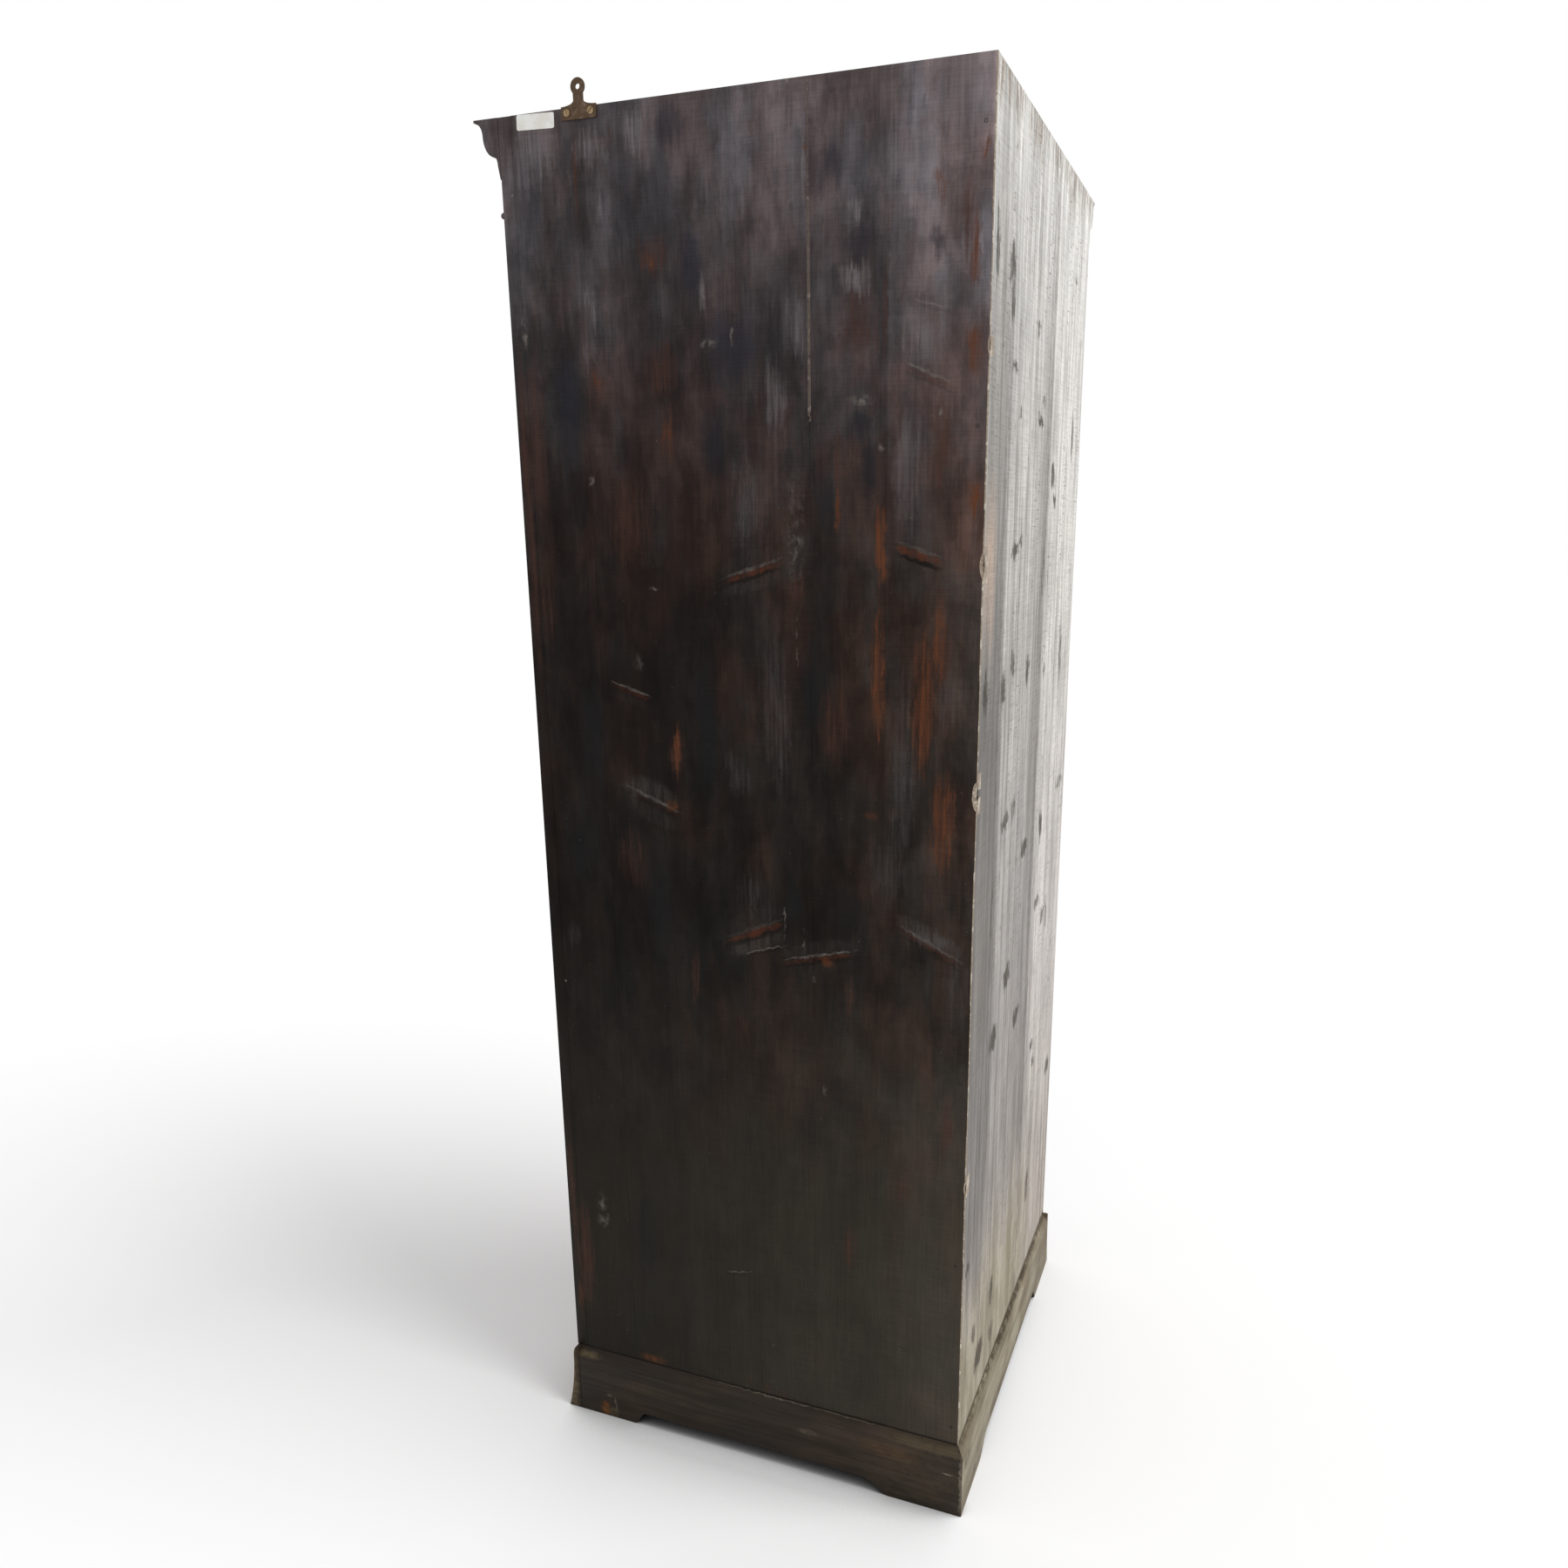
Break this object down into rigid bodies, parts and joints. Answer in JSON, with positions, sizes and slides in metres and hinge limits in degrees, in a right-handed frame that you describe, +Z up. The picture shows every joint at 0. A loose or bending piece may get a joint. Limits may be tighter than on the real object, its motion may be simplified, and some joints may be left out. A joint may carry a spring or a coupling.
{
  "type": "corner_wardrobe",
  "caption": "Tall corner wardrobe with two plain wall sides, moulded cornice, bracket plinth, canted returns and one panelled door on butt hinges with lock and drop handle",
  "frame": {"origin": "on the floor, under the middle of the bounding box", "axes": "+Z up, -Y to the front where the door is, +Y to the rear corner that stands in a room's corner"},
  "size_m": [1.004, 0.6827, 2.0328],
  "materials": {
    "dark_stained_pine": "worn dark stain",
    "limewashed_pine": "old limewash, dry and streaked",
    "polished_mahogany": "old polish",
    "bare_pine": "unfinished",
    "aged_brass": "tarnished",
    "dark_iron": "dull, dark"
  },
  "bodies": {
    "carcase": {"right_side_board_rear": "dark_stained_pine", "right_side_board_middle": "dark_stained_pine", "right_side_board_front": "dark_stained_pine", "left_side_board_rear": "limewashed_pine", "left_side_board_middle": "limewashed_pine", "left_side_board_front": "limewashed_pine", "right_return": "polished_mahogany", "left_return": "polished_mahogany", "right_front_stile": "polished_mahogany", "left_front_stile": "polished_mahogany", "frieze_rail": "polished_mahogany", "bottom_rail": "polished_mahogany", "floor_board": "bare_pine", "top_board": "bare_pine", "hat_shelf": "bare_pine", "right_cornice": "polished_mahogany", "left_cornice": "polished_mahogany", "front_cornice": "polished_mahogany", "right_astragal": "polished_mahogany", "left_astragal": "polished_mahogany", "front_astragal": "polished_mahogany", "right_wall_plinth": "dark_stained_pine", "left_wall_plinth": "limewashed_pine", "right_return_plinth": "polished_mahogany", "left_return_plinth": "polished_mahogany", "front_plinth": "polished_mahogany", "rear_plinth_block": "bare_pine", "right_plinth_block": "bare_pine", "left_plinth_block": "bare_pine", "right_shelf_bearer": "bare_pine", "left_shelf_bearer": "bare_pine", "right_hook_batten": "bare_pine", "left_hook_batten": "bare_pine", "right_coat_hook_1": "aged_brass", "right_coat_hook_2": "aged_brass", "right_coat_hook_3": "aged_brass", "left_coat_hook_1": "aged_brass", "left_coat_hook_2": "aged_brass", "left_coat_hook_3": "aged_brass", "lower_hinge_frame_leaf": "aged_brass", "lower_hinge_pin": "aged_brass", "upper_hinge_frame_leaf": "aged_brass", "upper_hinge_pin": "aged_brass", "lock_keep": "aged_brass", "wall_plate": "aged_brass"},
    "door": {"door_hinge_stile": "polished_mahogany", "door_lock_stile": "polished_mahogany", "door_bottom_rail": "polished_mahogany", "door_middle_rail": "polished_mahogany", "door_top_rail": "polished_mahogany", "door_lower_panel": "polished_mahogany", "door_upper_panel": "polished_mahogany", "lower_hinge_door_leaf": "aged_brass", "upper_hinge_door_leaf": "aged_brass", "lock_case": "dark_iron", "escutcheon": "aged_brass", "handle_plate": "aged_brass"},
    "key": {"key": "dark_iron"},
    "lock_bolt": {"lock_bolt": "aged_brass"},
    "handle_bail": {"handle_bail": "aged_brass"}
  },
  "joints": [
    {"name": "door_swing", "type": "hinge", "parent": "carcase", "child": "door", "pos_m": [-0.26861, -0.30794, 1], "axis": [0, 0, -1], "range_deg": [0, 150]},
    {"name": "key_turn", "type": "hinge", "parent": "door", "child": "key", "pos_m": [0.23161, -0.30344, 0.99], "axis": [0, 1, 0], "range_deg": [0, 180]},
    {"name": "bolt_throw", "type": "slide", "parent": "door", "child": "lock_bolt", "axis": [1, 0, 0], "range_m": [0, 0.014]},
    {"name": "handle_swing", "type": "hinge", "parent": "door", "child": "handle_bail", "pos_m": [0.22761, -0.31674, 1.105], "axis": [-1, 0, 0], "range_deg": [0, 95]}
  ],
  "couplings": [
    {"joint": "key_turn", "follows": "bolt_throw", "rad_per_m": 224.39}
  ]
}
